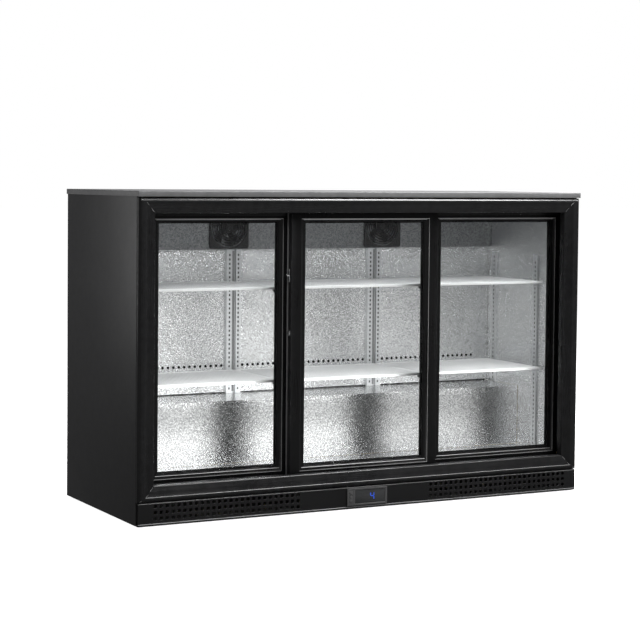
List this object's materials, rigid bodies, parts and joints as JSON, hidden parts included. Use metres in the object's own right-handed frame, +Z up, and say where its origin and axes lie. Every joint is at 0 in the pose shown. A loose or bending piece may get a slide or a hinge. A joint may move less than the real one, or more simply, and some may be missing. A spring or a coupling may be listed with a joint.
{
  "type": "under counter fridge",
  "caption": "Low black bar fridge with sliding glass doors on two tracks, a bright embossed liner with wire shelves, fan cooling and a perforated plinth with a thermostat.",
  "frame": {"origin": "on the floor under the middle of the cabinet", "axes": "+X to the right seen from the front, +Y to the back, +Z up; the doors face -Y"},
  "size_m": [1.35, 0.52, 0.85],
  "materials": {
    "black_enamel": "satin powder coat",
    "grey_enamel": "satin powder coat",
    "black_anodised": "black anodised, satin",
    "stucco_aluminium": "stucco embossed, bright",
    "galvanised": "galvanised sheet",
    "foam": "rigid polyurethane foam",
    "black_plastic": "moulded",
    "grey_plastic": "moulded",
    "display_window": "gloss tinted window",
    "clear_glass": "clear double glazing",
    "nylon": "moulded nylon",
    "chrome": "bright plated",
    "white_wire": "white epoxy coat on wire",
    "white_diffuser": "frosted diffuser",
    "black_compressor": "gloss black paint",
    "fin_aluminium": "bare fins"
  },
  "bodies": {
    "cabinet": {"top_panel": "grey_enamel", "side_panel_left": "black_enamel", "side_panel_right": "black_enamel", "back_panel": "galvanised", "rear_grille": "galvanised", "base_pan": "galvanised", "foam_insulation": "foam", "liner_left": "stucco_aluminium", "liner_right": "stucco_aluminium", "liner_back": "stucco_aluminium", "liner_ceiling": "stucco_aluminium", "liner_floor": "stucco_aluminium", "compressor_step": "stucco_aluminium", "duct_panel": "stucco_aluminium", "evaporator_cover": "stucco_aluminium", "evaporator_coil": "fin_aluminium", "fan_guard_left": "black_plastic", "fan_guard_right": "black_plastic", "compressor": "black_compressor", "condenser_coil": "fin_aluminium", "plinth_grille": "black_enamel", "controller_bezel": "grey_plastic", "controller_display": "display_window", "surround_top": "black_anodised", "surround_bottom": "black_anodised", "surround_left": "black_anodised", "surround_right": "black_anodised", "top_track": "black_anodised", "bottom_track": "black_anodised", "shelf_lower_left": "white_wire", "shelf_lower_middle": "white_wire", "shelf_lower_right": "white_wire", "shelf_upper_left": "white_wire", "shelf_upper_middle": "white_wire", "shelf_upper_right": "white_wire", "back_pilaster_left": "stucco_aluminium", "back_pilaster_right": "stucco_aluminium", "front_post_left": "black_plastic", "front_post_right": "black_plastic", "led_strip": "white_diffuser"},
    "left_door": {"door_frame_left": "black_anodised", "door_glass_left": "clear_glass"},
    "middle_door": {"door_frame_middle": "black_anodised", "door_glass_middle": "clear_glass"},
    "right_door": {"door_frame_right": "black_anodised", "door_glass_right": "clear_glass"},
    "roller_left_a": {"roller_left_a": "nylon"},
    "roller_left_b": {"roller_left_b": "nylon"},
    "roller_middle_a": {"roller_middle_a": "nylon"},
    "roller_middle_b": {"roller_middle_b": "nylon"},
    "roller_right_a": {"roller_right_a": "nylon"},
    "roller_right_b": {"roller_right_b": "nylon"},
    "lock_barrel": {"lock_barrel": "chrome"},
    "lock_catch": {"lock_catch": "chrome"},
    "fan_rotor_left": {"fan_rotor_left": "black_plastic"},
    "fan_rotor_right": {"fan_rotor_right": "black_plastic"},
    "condenser_fan_rotor": {"condenser_fan_rotor": "black_plastic"},
    "controller_button_1": {"controller_button_1": "grey_plastic"},
    "controller_button_2": {"controller_button_2": "grey_plastic"},
    "controller_button_3": {"controller_button_3": "grey_plastic"}
  },
  "joints": [
    {"name": "left_door_slide", "type": "slide", "parent": "cabinet", "child": "left_door", "axis": [1, 0, 0], "range_m": [0, 0.42]},
    {"name": "middle_door_slide", "type": "slide", "parent": "cabinet", "child": "middle_door", "axis": [1, 0, 0], "range_m": [-0.41, 0.41]},
    {"name": "right_door_slide", "type": "slide", "parent": "cabinet", "child": "right_door", "axis": [1, 0, 0], "range_m": [-0.42, 0]},
    {"name": "roller_left_a_spin", "type": "hinge", "parent": "left_door", "child": "roller_left_a", "pos_m": [-0.5848, -0.187, 0.0923], "axis": [0, 1, 0], "continuous": true},
    {"name": "roller_left_b_spin", "type": "hinge", "parent": "left_door", "child": "roller_left_b", "pos_m": [-0.2848, -0.187, 0.0923], "axis": [0, 1, 0], "continuous": true},
    {"name": "roller_middle_a_spin", "type": "hinge", "parent": "middle_door", "child": "roller_middle_a", "pos_m": [-0.15, -0.212, 0.0923], "axis": [0, 1, 0], "continuous": true},
    {"name": "roller_middle_b_spin", "type": "hinge", "parent": "middle_door", "child": "roller_middle_b", "pos_m": [0.15, -0.212, 0.0923], "axis": [0, 1, 0], "continuous": true},
    {"name": "roller_right_a_spin", "type": "hinge", "parent": "right_door", "child": "roller_right_a", "pos_m": [0.2848, -0.187, 0.0923], "axis": [0, 1, 0], "continuous": true},
    {"name": "roller_right_b_spin", "type": "hinge", "parent": "right_door", "child": "roller_right_b", "pos_m": [0.5848, -0.187, 0.0923], "axis": [0, 1, 0], "continuous": true},
    {"name": "lock_turn", "type": "hinge", "parent": "middle_door", "child": "lock_barrel", "pos_m": [-0.2253, -0.212, 0.476], "axis": [-1, 0, 0], "range_deg": [0, 90]},
    {"name": "catch_slide", "type": "slide", "parent": "middle_door", "child": "lock_catch", "axis": [0, 0, 1], "range_m": [0, 0.012]},
    {"name": "fan_rotor_left_spin", "type": "hinge", "parent": "cabinet", "child": "fan_rotor_left", "pos_m": [-0.246, 0.1375, 0.7465], "axis": [0, 1, 0], "continuous": true},
    {"name": "fan_rotor_right_spin", "type": "hinge", "parent": "cabinet", "child": "fan_rotor_right", "pos_m": [0.246, 0.1375, 0.7465], "axis": [0, 1, 0], "continuous": true},
    {"name": "condenser_fan_spin", "type": "hinge", "parent": "cabinet", "child": "condenser_fan_rotor", "pos_m": [-0.12, 0.165, 0.128], "axis": [0, 1, 0], "continuous": true},
    {"name": "button_1_press", "type": "slide", "parent": "cabinet", "child": "controller_button_1", "axis": [0, 1, 0], "range_m": [0, 0.0012], "stiffness_N_per_m": 400},
    {"name": "button_2_press", "type": "slide", "parent": "cabinet", "child": "controller_button_2", "axis": [0, 1, 0], "range_m": [0, 0.0012], "stiffness_N_per_m": 400},
    {"name": "button_3_press", "type": "slide", "parent": "cabinet", "child": "controller_button_3", "axis": [0, 1, 0], "range_m": [0, 0.0012], "stiffness_N_per_m": 400}
  ],
  "couplings": [
    {"joint": "roller_left_a_spin", "follows": "left_door_slide", "rad_per_m": 142.86},
    {"joint": "roller_left_b_spin", "follows": "left_door_slide", "rad_per_m": 142.86},
    {"joint": "roller_middle_a_spin", "follows": "middle_door_slide", "rad_per_m": 142.86},
    {"joint": "roller_middle_b_spin", "follows": "middle_door_slide", "rad_per_m": 142.86},
    {"joint": "roller_right_a_spin", "follows": "right_door_slide", "rad_per_m": 142.86},
    {"joint": "roller_right_b_spin", "follows": "right_door_slide", "rad_per_m": 142.86}
  ]
}
